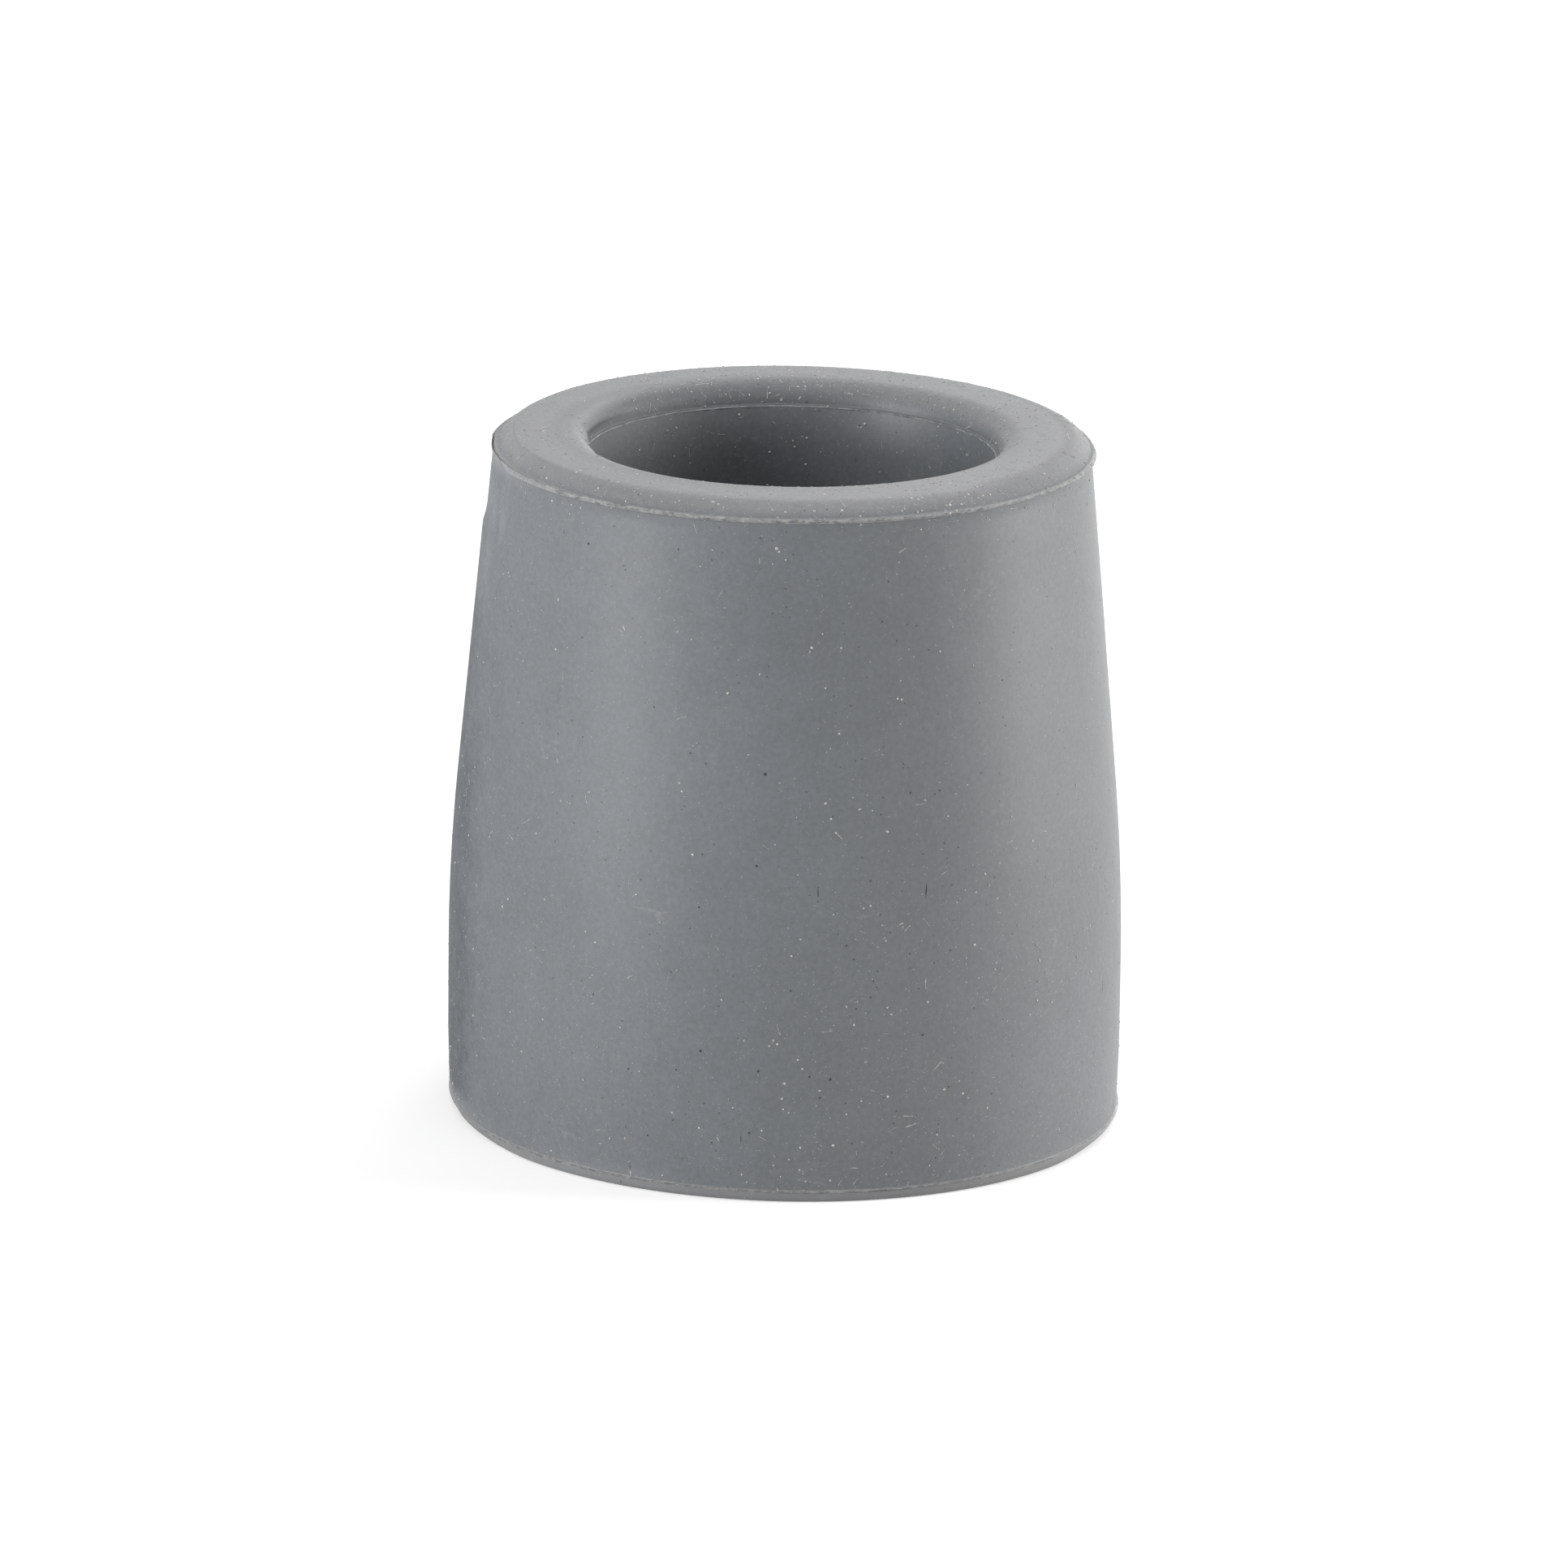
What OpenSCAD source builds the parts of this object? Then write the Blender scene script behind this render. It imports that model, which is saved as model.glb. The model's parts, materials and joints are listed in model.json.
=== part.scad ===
// Rubber tip for a walking cane: one compression-moulded piece, a tapered
// boot with a blind socket for the shaft, a rolled mouth and a ringed tread.
// The whole tip is one section, drawn in the half plane right of the axis
// and turned about Z. The sole lies on Z = 0. Lengths are in millimetres.

/* [Socket] */
// Diameter of the straight bore that grips the shaft
bore_d = 22; // [19:0.5:25]
// Rubber left under the bore, between its floor and the sole
floor_t = 9.6; // [6:0.1:14]
// Radius where the bore wall runs into its floor
floor_r = 2; // [0.5:0.1:4]
// Radius of the rolled lead-in at the mouth
mouth_r = 1.35; // [0.6:0.05:2]
// Ledge between the lead-in and the bore, where the core pin met the mould
mouth_ledge = 0.12; // [0.05:0.01:0.4]

/* [Body] */
// Height from the sole to the rim face
height = 37.6; // [32:0.1:48]
// Thickness of the wall round the bore at the parting line
rim_wall = 5.12; // [4:0.01:7]
// Thickness of the wall round the bore at the skirt, the widest part
skirt_wall = 7.25; // [6:0.05:9]
// Height at which the cone would meet the skirt if nothing rounded the knee
skirt_h = 13.7; // [11:0.1:18]
// Radius that blends the cone into the skirt
knee_r = 112; // [40:1:120]
// Height at which the skirt begins to draw in towards the foot
draw_in_h = 4.1; // [2:0.1:6]
// How far the skirt has drawn in at the foot
draw_in = 0.09; // [0.05:0.01:0.4]

/* [Rim] */
// Depth of the parting line below the rim face
parting_depth = 0.9; // [0.6:0.05:1.6]
// Width of the crowned shoulder between the rim face and the parting line
shoulder_w = 1.45; // [1:0.05:1.8]
// Thickness of the trimmed bead of rubber on the parting line
bead_t = 0.32; // [0.2:0.02:0.5]
// How far the bead stands out of the wall
bead_proud = 0.1; // [0.04:0.01:0.15]

/* [Foot] */
// Height of the band that the sole plate of the mould formed
band_h = 0.6; // [0.4:0.05:1.2]
// How far the band stands out of the foot of the skirt
band_proud = 0.07; // [0.03:0.01:0.15]
// Radius on the lower edge of the band
band_edge_r = 0.3; // [0.1:0.05:0.35]

/* [Tread] */
// Number of round grooves in the sole
groove_n = 3; // [1:1:3]
// Width of a groove where it opens on the sole
groove_w = 1.7; // [1:0.1:2]
// Depth of a groove
groove_depth = 2; // [1.2:0.1:3]
// Radius at the root of a groove, whose sides lean in for the mould to draw
groove_root_r = 0.5; // [0.2:0.05:0.6]
// Distance from one groove to the next
groove_pitch = 4.2; // [3:0.1:4.4]
// Width of the outermost ring of tread
edge_ring_w = 3.4; // [2.4:0.1:5]

/* [Hidden] */

round_fn = 180;
rubber = [0.50, 0.51, 0.53];
// Overrun of a cutting shape past the face that it opens
over = 1;

bore_r = bore_d / 2;
rim_r = bore_r + rim_wall;
skirt_r = bore_r + skirt_wall;
foot_r = skirt_r - draw_in;
band_r = foot_r + band_proud;

parting_z = height - parting_depth;
// Half angle of the cone, and the places where the knee's arc touches
// the skirt and the cone
cone_angle = atan((skirt_r - rim_r) / (parting_z - skirt_h));
knee_reach = knee_r * tan(cone_angle / 2);
knee_low_z = skirt_h - knee_reach;
knee_high_z = skirt_h + knee_reach * cos(cone_angle);
knee_high_r = skirt_r - knee_reach * sin(cone_angle);

// Radius of the arc that leaves the rim face level and meets the parting line
crown_r = (pow(shoulder_w, 2) + pow(parting_depth, 2)) / (2 * parting_depth);
rim_face_r = rim_r - shoulder_w;

mouth_outer_r = bore_r + mouth_ledge + mouth_r;
mouth_z = height - mouth_r;

// Centre line of the outermost groove
edge_groove_r = band_r - edge_ring_w - groove_w / 2;

// Disc of radius r at [x, z]
module disc(x, z, r) {
    translate([x, z]) circle(r = r, $fn = round_fn);
}

// Rectangle from [x0, z0] to [x1, z1]
module block(x0, z0, x1, z1) {
    translate([x0, z0]) square([x1 - x0, z1 - z0]);
}

// Skirt and cone, still with a sharp knee
module wall_blank() {
    polygon([
        [0, band_edge_r],
        [foot_r, band_edge_r],
        [foot_r, band_h],
        [skirt_r, draw_in_h],
        [skirt_r, skirt_h],
        [rim_r, parting_z],
        [0, parting_z]
    ]);
}

// What the knee's arc takes off the sharp knee
module knee_cut() {
    difference() {
        polygon([
            [skirt_r, knee_low_z],
            [skirt_r + over, knee_low_z],
            [skirt_r + over, knee_high_z],
            [knee_high_r, knee_high_z]
        ]);
        disc(skirt_r - knee_r, knee_low_z, knee_r);
    }
}

// Crowned shoulder above the parting line
module crown() {
    block(0, parting_z, rim_face_r, height);
    intersection() {
        block(rim_face_r, parting_z, rim_r, height);
        disc(rim_face_r, height - crown_r, crown_r);
    }
}

// Bead left on the parting line by the trimmed flash
module parting_bead() {
    disc(rim_r + bead_proud - bead_t / 2, parting_z, bead_t / 2);
}

// Band round the sole, with its lower edge rounded
module foot_band() {
    block(0, 0, band_r - band_edge_r, band_h);
    block(0, band_edge_r, band_r, band_h);
    disc(band_r - band_edge_r, band_edge_r, band_edge_r);
}

// Blind bore with a rounded floor, and the ledge and roll of its mouth
module socket() {
    wall_z = floor_t + floor_r;
    block(0, wall_z, bore_r, height + over);
    block(0, floor_t, bore_r - floor_r, wall_z);
    intersection() {
        block(bore_r - floor_r, floor_t, bore_r, wall_z);
        disc(bore_r - floor_r, wall_z, floor_r);
    }
    difference() {
        block(0, mouth_z, mouth_outer_r, height + over);
        disc(mouth_outer_r, mouth_z, mouth_r);
    }
}

// One groove of the tread: sides with draft down to a round root
module groove(r) {
    root_z = groove_depth - groove_root_r;
    polygon([
        [r - groove_w / 2, -over],
        [r + groove_w / 2, -over],
        [r + groove_w / 2, 0],
        [r + groove_root_r, root_z],
        [r - groove_root_r, root_z],
        [r - groove_w / 2, 0]
    ]);
    disc(r, root_z, groove_root_r);
}

// Half section of the whole tip
module section() {
    difference() {
        union() {
            difference() {
                wall_blank();
                knee_cut();
            }
            crown();
            parting_bead();
            foot_band();
        }
        socket();
        for (i = [0 : groove_n - 1])
            groove(edge_groove_r - i * groove_pitch);
    }
}

module cane_tip() {
    color(rubber) rotate_extrude($fn = round_fn) section();
}

cane_tip();
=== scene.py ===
import json
import math

import bpy
from mathutils import Matrix, Vector
from mathutils.bvhtree import BVHTree


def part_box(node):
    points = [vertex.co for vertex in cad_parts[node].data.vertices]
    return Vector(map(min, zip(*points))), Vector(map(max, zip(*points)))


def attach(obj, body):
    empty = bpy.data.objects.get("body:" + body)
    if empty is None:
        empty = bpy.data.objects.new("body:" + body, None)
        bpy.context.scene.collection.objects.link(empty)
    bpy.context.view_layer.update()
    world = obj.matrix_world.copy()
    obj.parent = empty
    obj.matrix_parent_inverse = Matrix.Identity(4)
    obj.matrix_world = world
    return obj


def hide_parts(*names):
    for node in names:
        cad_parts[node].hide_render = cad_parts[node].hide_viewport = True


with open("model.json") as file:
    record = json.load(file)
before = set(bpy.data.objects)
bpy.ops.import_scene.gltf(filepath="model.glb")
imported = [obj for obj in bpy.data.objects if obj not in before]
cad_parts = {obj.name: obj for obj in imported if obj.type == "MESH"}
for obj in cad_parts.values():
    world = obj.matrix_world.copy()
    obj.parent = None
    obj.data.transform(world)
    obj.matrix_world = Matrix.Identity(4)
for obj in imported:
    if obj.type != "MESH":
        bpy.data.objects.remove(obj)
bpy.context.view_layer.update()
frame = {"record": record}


# The moulded tip
# One piece of grey rubber, pressed hot between a skirt mould, a sole plate and
# a capped core pin. Its section is turned about the axis and then given its
# faults: a slight lean, a shaved patch at the left, and a worn crown and foot.
MM = 0.001

socket = next(m for m in frame["record"]["mounts"] if m["name"] == "socket")
high_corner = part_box("cane_tip")[1]
height = high_corner.z / MM
bore_r = socket["dims"]["r_mm"]
# The foot band is narrower than the skirt, the widest part, by this much
skirt_r = round(high_corner.x / MM, 2)
band_r = skirt_r - 0.02
foot_r = skirt_r - 0.09
rim_r = bore_r + 5.12
band_h = 0.6
skirt_h = 13.7
knee_r = 112
draw_in_h = 4.1
floor_z = 9.6
parting_z = height - 0.9
bead_t = 0.32
bead_proud = 0.1
shoulder_w = 1.45
mouth_r = 1.35
mouth_ledge = 0.12
groove_w = 1.7
groove_depth = 2
groove_pitch = 4.2
edge_ring_w = 3.4


def rounded(corners):
    """Points along a line through the corners, in millimetres.

    A corner is its radius from the axis, its height, the radius that rounds
    it, the steps of that rounding, and the pitch of the stretch after it.
    """
    points = [Vector(corners[0][:2])]
    pitch = corners[0][4]
    for before, corner, after in zip(corners, corners[1:], corners[2:]):
        here = Vector(corner[:2])
        back = (Vector(before[:2]) - here).normalized()
        on = (Vector(after[:2]) - here).normalized()
        half = back.angle(on) / 2
        centre = here + (back + on).normalized() * corner[2] / math.sin(half)
        arm = here + back * corner[2] / math.tan(half) - centre
        end = here + on * corner[2] / math.tan(half) - centre
        turn = arm.angle_signed(end)
        straight(points, centre + arm, pitch)
        for step in range(1, corner[3] + 1):
            spoke = arm.copy()
            spoke.rotate(Matrix.Rotation(-turn * step / corner[3], 2))
            points.append(centre + spoke)
        pitch = corner[4]
    straight(points, Vector(corners[-1][:2]), pitch)
    return points


def straight(points, end, pitch):
    """Goes on from the last point to the end, in steps no longer than the pitch."""
    start = points[-1].copy()
    steps = max(1, math.ceil((end - start).length / pitch))
    for step in range(1, steps + 1):
        points.append(start.lerp(end, step / steps))


edge_groove_r = band_r - edge_ring_w - groove_w / 2
groove_floor_w = 0.76
groove_lip_round = 0.15
groove_floor_round = 0.45
sole = [(0, 0, 0, 1, 2)]
for pitches_in in (2, 1, 0):
    centre_r = edge_groove_r - pitches_in * groove_pitch
    sole.append((centre_r - groove_w / 2, 0, groove_lip_round, 2, 2))
    sole.append((centre_r - groove_floor_w / 2, groove_depth, groove_floor_round, 3, 2))
    sole.append((centre_r + groove_floor_w / 2, groove_depth, groove_floor_round, 3, 2))
    sole.append((centre_r + groove_w / 2, 0, groove_lip_round, 2, 2))

cone_slope = (skirt_r - rim_r) / (parting_z - skirt_h)
bead_low = parting_z - bead_t / 2
bead_high = parting_z + bead_t / 2
wall = [
    (band_r, 0, 0.3, 4, 1),
    (band_r, band_h, 0.08, 3, 1),
    (foot_r, band_h + 0.05, 0.05, 2, 0.8),
    (skirt_r, draw_in_h, 20, 2, 0.8),
    (skirt_r, skirt_h, knee_r, 10, 0.6),
    (rim_r + cone_slope * bead_t / 2, bead_low, 0.05, 2, 0.1),
    (rim_r + bead_proud, bead_low + 0.04, 0.06, 3, 0.1),
    (rim_r + bead_proud, bead_high - 0.04, 0.06, 3, 0.1),
]

# The crown is one arc, level where it leaves the rim face
crown_depth = height - parting_z
crown_r = (shoulder_w ** 2 + crown_depth ** 2) / (2 * crown_depth)
rim_face_r = rim_r - shoulder_w
crown_turn = math.acos(1 - (height - bead_high) / crown_r)
mouth = [
    (rim_face_r + crown_r * math.sin(crown_turn), bead_high, 0.03, 2, 0.1),
    (rim_face_r + crown_r * math.tan(crown_turn / 2), height, crown_r * 0.95, 9, 0.8),
    (bore_r + mouth_ledge, height, mouth_r, 12, 0.1),
    (bore_r + mouth_ledge, height - mouth_r - 0.02, 0.02, 2, 0.1),
    (bore_r, height - mouth_r, 0.05, 2, 2.5),
    (bore_r, floor_z, 2, 6, 3),
    (0, floor_z, 0, 1, 3),
]
outline = rounded(sole + wall + mouth)

section = bpy.data.meshes.new("section")
section.from_pydata([(p.x * MM, 0, p.y * MM) for p in outline],
                    [(i, i + 1) for i in range(len(outline) - 1)], [])


def weight(name, values):
    """Stores one weight for each point of the section."""
    layer = section.attributes.new(name, "FLOAT", "POINT")
    layer.data.foreach_set("value", values)


# The cap half of the mould shaped all from the parting line to the mouth's roll
weight("cap", [float(p.x > bore_r + 0.2 and p.y > parting_z) for p in outline])
weight("band", [float(p.x > foot_r + 0.01 and 0 < p.y < band_h + 0.02) for p in outline])


def add(tree, kind, *given, **settings):
    """Adds a node. Each given value goes to the next open input: a socket is linked,
    a plain value is set, and None leaves the input as it is."""
    made = tree.nodes.new(kind)
    for name, value in settings.items():
        setattr(made, name, value)
    for socket_in, value in zip([s for s in made.inputs if s.enabled], given):
        if isinstance(value, bpy.types.NodeSocket):
            tree.links.new(value, socket_in)
        elif value is not None:
            socket_in.default_value = value
    return made


def out(made, name=None):
    """The node's open output, or the one of that name."""
    return next(s for s in made.outputs if s.enabled and name in (None, s.name))


def maths(tree, operation, *given):
    """The result of one Math node."""
    return out(add(tree, "ShaderNodeMath", *given, operation=operation))


def times(tree, first, *others):
    """The product of all those values."""
    for other in others:
        first = maths(tree, "MULTIPLY", first, other)
    return first


def scaled(tree, vector, amount):
    """The vector, or the colour, times the amount."""
    made = add(tree, "ShaderNodeVectorMath", vector, operation="SCALE")
    tree.links.new(amount, made.inputs["Scale"])
    return out(made)


def noise(tree, place, scale, detail, roughness):
    """Soft noise between 0 and 1, with about so many waves to the metre."""
    return out(add(tree, "ShaderNodeTexNoise", place, scale, detail, roughness))


def ramp(tree, value, start, end, low=0.0, high=1.0):
    """The value eased from low, at start, to high, at end."""
    return out(add(tree, "ShaderNodeMapRange", value, start, end, low, high,
                   interpolation_type="SMOOTHSTEP"))


def tree_with(name, kind, inputs, outputs):
    """A new node tree with named sockets, each a name, a socket kind and maybe a value."""
    tree = bpy.data.node_groups.new(name, kind)
    for side, sockets in (("INPUT", inputs), ("OUTPUT", outputs)):
        for label, socket_kind, *value in sockets:
            made = tree.interface.new_socket(label, in_out=side, socket_type=socket_kind)
            if value:
                made.default_value = value[0]
    return tree, tree.nodes.new("NodeGroupInput").outputs, tree.nodes.new("NodeGroupOutput").inputs


def use(tree, group_kind, group, **given):
    """Places a node group and sets or links its inputs by name."""
    made = tree.nodes.new(group_kind)
    made.node_tree = group
    for name, value in given.items():
        socket_in = made.inputs[name.replace("_", " ")]
        if isinstance(value, bpy.types.NodeSocket):
            tree.links.new(value, socket_in)
        else:
            socket_in.default_value = value
    return made


# Turns a section about the axis. Its columns start behind the tip.
turned, given, result = tree_with(
    "turned section", "GeometryNodeTree",
    [("Section", "NodeSocketGeometry"), ("Columns", "NodeSocketInt", 64)],
    [("Mesh", "NodeSocketGeometry"), ("Angle", "NodeSocketFloat"), ("Point", "NodeSocketInt")])
counted = add(turned, "GeometryNodeAttributeDomainSize", given["Section"])
rows = maths(turned, "ADD", given["Columns"], 1)
grid = add(turned, "GeometryNodeMeshGrid", 1, 1, out(counted, "Point Count"), rows)
place = out(add(turned, "GeometryNodeInputIndex"))
point = maths(turned, "FLOOR", maths(turned, "DIVIDE", place, rows))
column = maths(turned, "SUBTRACT", place, times(turned, point, rows))
angle = maths(turned, "MULTIPLY_ADD", maths(turned, "DIVIDE", column, given["Columns"]),
              math.tau, math.pi / 2)
spot = out(add(turned, "GeometryNodeSampleIndex", given["Section"],
               out(add(turned, "GeometryNodeInputPosition")), point, data_type="FLOAT_VECTOR"))
parts = add(turned, "ShaderNodeSeparateXYZ", spot)
there = add(turned, "ShaderNodeCombineXYZ",
            times(turned, out(parts, "X"), maths(turned, "COSINE", angle)),
            times(turned, out(parts, "X"), maths(turned, "SINE", angle)),
            out(parts, "Z"))
shaped = add(turned, "GeometryNodeSetPosition", out(grid, "Mesh"), None, out(there))
turned.links.new(out(shaped), result["Mesh"])
turned.links.new(angle, result["Angle"])
turned.links.new(point, result["Point"])

# Leans what stands on the foot. The socket keeps its place, because the lean
# turns about a point half way down it.
lean, given, result = tree_with(
    "lean", "GeometryNodeTree",
    [("Mesh", "NodeSocketGeometry"), ("Lean", "NodeSocketFloat"), ("Rim", "NodeSocketFloat")],
    [("Mesh", "NodeSocketGeometry")])
at = add(lean, "ShaderNodeSeparateXYZ", out(add(lean, "GeometryNodeInputPosition")))
lean_pivot = 24 * MM
rim_tilt_h = 30 * MM
sideways = times(lean, maths(lean, "SUBTRACT", out(at, "Z"), lean_pivot), given["Lean"])
share = maths(lean, "MINIMUM", maths(lean, "DIVIDE", out(at, "Z"), rim_tilt_h), 1)
upwards = times(lean, out(at, "X"), given["Rim"], share)
moved = add(lean, "GeometryNodeSetPosition", given["Mesh"], None, None,
            out(add(lean, "ShaderNodeCombineXYZ", sideways, 0, upwards)))
lean.links.new(out(moved), result["Mesh"])
# The wall leans to the left, and the rim is off level by a little less
tip_lean = -math.tan(math.radians(0.675))
rim_lean = math.tan(math.radians(0.522))

moulded, given, result = tree_with(
    "moulded tip", "GeometryNodeTree",
    [("Section", "NodeSocketGeometry"), ("Columns", "NodeSocketInt"),
     ("Cap shift", "NodeSocketFloat"), ("Shave", "NodeSocketFloat"),
     ("Shave height", "NodeSocketFloat"), ("Swell", "NodeSocketFloat"),
     ("Band bulge", "NodeSocketFloat"), ("Worn", "NodeSocketFloat"), ("Lean", "NodeSocketFloat"),
     ("Rim", "NodeSocketFloat"), ("Material", "NodeSocketMaterial")],
    [("Mesh", "NodeSocketGeometry")])
body = use(moulded, "GeometryNodeGroup", turned, Section=given["Section"], Columns=given["Columns"])


def sampled(tree, name, whole, point):
    """The section's weight of that name, at each point of the turned mesh."""
    stored = out(add(tree, "GeometryNodeInputNamedAttribute", name))
    return out(add(tree, "GeometryNodeSampleIndex", whole, stored, point))


def near_turn(tree, angle, degrees, full, none):
    """1 within the full angle of that turn about the axis, easing to 0 at the outer one."""
    off = maths(tree, "ABSOLUTE", maths(tree, "SUBTRACT", angle, math.radians(degrees)))
    return ramp(tree, off, math.radians(full), math.radians(none), 1, 0)


def dress(tree, mesh, offset, given, result):
    """Moves the mesh, closes its seam, leans it and gives it its material."""
    shaped = add(tree, "GeometryNodeSetPosition", mesh, None, None, offset)
    closed = add(tree, "GeometryNodeMergeByDistance", out(shaped))
    closed.inputs["Distance"].default_value = 0.001 * MM
    leaned = use(tree, "GeometryNodeGroup", lean, Mesh=out(closed), Lean=given["Lean"],
                 Rim=given["Rim"])
    smooth = add(tree, "GeometryNodeSetShadeSmooth", leaned.outputs["Mesh"])
    real = add(tree, "GeometryNodeRealizeInstances", out(smooth))
    finished = add(tree, "GeometryNodeSetMaterial", out(real), None, given["Material"])
    tree.links.new(out(finished), result["Mesh"])


angle = body.outputs["Angle"]
point = body.outputs["Point"]
at = out(add(moulded, "GeometryNodeInputPosition"))
level = out(add(moulded, "ShaderNodeSeparateXYZ", at), "Z")
# The cosine of the turn runs from -1 at the left of the tip to 1 at its right
cosine = maths(moulded, "COSINE", angle)
outward = out(add(moulded, "ShaderNodeCombineXYZ", cosine, maths(moulded, "SINE", angle), 0))
# The shaved patch lies at the left edge as the camera sees it, over a small step
left_turn = 188
right_turn = 360
step_h = 0.1 * MM
step_top = maths(moulded, "ADD", given["Shave height"], step_h)
above_step = times(moulded, ramp(moulded, level, given["Shave height"], step_top),
                   ramp(moulded, level, (height - 0.3) * MM, height * MM, 1, 0))
shaved = times(moulded, near_turn(moulded, angle, left_turn, 9, 16), above_step, given["Shave"])
# The crown over the patch has worn flatter
crown_cut = 0.22 * MM
on_crown = times(moulded, ramp(moulded, level, parting_z * MM, (parting_z + 0.2) * MM),
                 ramp(moulded, level, (height - 0.12) * MM, height * MM, 1, 0))
crown_worn = times(moulded, near_turn(moulded, angle, left_turn, 16, 58), on_crown)
shaved = maths(moulded, "MULTIPLY_ADD", crown_worn, crown_cut, shaved)
# The band bulges a little at the right, and is worn back at the left
band_cut = 0.1 * MM
banded = sampled(moulded, "band", given["Section"], point)
bulged = times(moulded, banded, given["Band bulge"], near_turn(moulded, angle, right_turn, 10, 50))
band_worn = times(moulded, banded, ramp(moulded, cosine, -0.72, -0.9))
bulged = maths(moulded, "MULTIPLY_ADD", band_worn, -band_cut, bulged)
# Under the band the foot's edge has worn rounder at the left and at the right
foot_sides = maths(moulded, "ADD", ramp(moulded, cosine, -0.72, -0.94),
                   ramp(moulded, cosine, 0.8, 0.95, 0, 0.8))
from_middle = out(add(moulded, "ShaderNodeVectorMath", at, operation="LENGTH"))
low_edge = times(moulded, ramp(moulded, level, 0.6 * MM, 0.15 * MM),
                 ramp(moulded, from_middle, (band_r - 2) * MM, (band_r - 0.4) * MM))
shaved = maths(moulded, "ADD", shaved, times(moulded, foot_sides, low_edge, given["Worn"]))
# Slow swells, as rubber has that shrank unevenly out of the mould
swollen = times(moulded, maths(moulded, "SUBTRACT", noise(moulded, at, 90, 2, 0.5), 0.5),
                given["Swell"])
off_sole = ramp(moulded, level, 0, 1 * MM)
reach = maths(moulded, "ADD", maths(moulded, "SUBTRACT", bulged, shaved),
              times(moulded, swollen, off_sole))
under_cap = sampled(moulded, "cap", given["Section"], point)
capped = add(moulded, "ShaderNodeCombineXYZ", times(moulded, under_cap, given["Cap shift"]), 0, 0)
offset = add(moulded, "ShaderNodeVectorMath", scaled(moulded, outward, reach), out(capped),
             operation="ADD")
dress(moulded, body.outputs["Mesh"], out(offset), given, result)


def grown(name, mesh, tree, **values):
    """A plain mesh object: what the tree makes of the mesh, with these input values."""
    seed = bpy.data.objects.new(name + "_seed", mesh)
    bpy.context.scene.collection.objects.link(seed)
    made = seed.modifiers.new("grow", "NODES")
    made.node_group = tree
    sockets = {s.name: s.identifier for s in tree.interface.items_tree if s.in_out == "INPUT"}
    for label, value in values.items():
        made[sockets[label.replace("_", " ")]] = value
    bpy.context.view_layer.update()
    evaluated = seed.evaluated_get(bpy.context.evaluated_depsgraph_get())
    plain = bpy.data.meshes.new_from_object(evaluated)
    plain.name = name
    bpy.data.objects.remove(seed)
    piece = bpy.data.objects.new(name, plain)
    bpy.context.scene.collection.objects.link(piece)
    return piece


# Specks of bloom and grit: a share of the cells of a random pattern holds one
specks, given, result = tree_with(
    "specks", "ShaderNodeTree",
    [("Place", "NodeSocketVector"), ("Cells", "NodeSocketFloat", 1000.0),
     ("Share", "NodeSocketFloat", 0.1), ("Size", "NodeSocketFloat", 0.2)],
    [("Mask", "NodeSocketFloat")])
cell = add(specks, "ShaderNodeTexVoronoi", given["Place"], given["Cells"])
chance = add(specks, "ShaderNodeSeparateColor", out(cell, "Color"))
reach = times(specks, given["Size"], maths(specks, "MULTIPLY_ADD", out(chance, "Green"), 0.6, 0.4))
dot = ramp(specks, out(cell, "Distance"), reach, times(specks, reach, 0.5))
chosen = maths(specks, "LESS_THAN", out(chance, "Red"), given["Share"])
specks.links.new(times(specks, dot, chosen), result["Mask"])

# The grain of moulded rubber: slow clouds in its tone, and a fine satin tooth
grain, given, result = tree_with(
    "rubber grain", "ShaderNodeTree",
    [("Place", "NodeSocketVector"), ("Clouds", "NodeSocketFloat", 0.05),
     ("Tooth", "NodeSocketFloat", 0.05)],
    [("Shade", "NodeSocketFloat"), ("Rise", "NodeSocketFloat"), ("Bloom", "NodeSocketFloat")])
slow = noise(grain, given["Place"], 85, 3, 0.55)
small = noise(grain, given["Place"], 480, 4, 0.6)
fine = noise(grain, given["Place"], 3600, 2, 0.6)
both = maths(grain, "ADD", maths(grain, "SUBTRACT", slow, 0.5),
             times(grain, maths(grain, "SUBTRACT", small, 0.5), 0.6))
cloudy = times(grain, both, given["Clouds"])
toothy = times(grain, maths(grain, "SUBTRACT", fine, 0.5), given["Tooth"])
grain.links.new(maths(grain, "ADD", maths(grain, "ADD", cloudy, toothy), 1), result["Shade"])
grain.links.new(maths(grain, "ADD", times(grain, small, 0.012 * MM), times(grain, fine, 0.005 * MM)),
                result["Rise"])
grain.links.new(ramp(grain, small, 0.52, 0.72), result["Bloom"])


def mix(tree, share, low, high):
    """Low where the share is 0 and high where it is 1. Both are colours."""
    made = add(tree, "ShaderNodeMix", share, data_type="RGBA")
    for name, value in (("A", low), ("B", high)):
        socket_in = next(s for s in made.inputs if s.enabled and s.name == name)
        if isinstance(value, bpy.types.NodeSocket):
            tree.links.new(value, socket_in)
        else:
            socket_in.default_value = value
    return out(made)


def stretched(tree, place, scale, turn=(0, 0, 0)):
    """The place turned, and scaled along each axis, so that a pattern on it stretches."""
    way = add(tree, "ShaderNodeMapping", place)
    way.inputs["Rotation"].default_value = turn
    way.inputs["Scale"].default_value = scale
    return out(way)


def new_material(name):
    """A new material, with its node tree and its Principled BSDF."""
    made = bpy.data.materials.new(name)
    made.use_nodes = True
    return made, made.node_tree, made.node_tree.nodes["Principled BSDF"]


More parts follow.
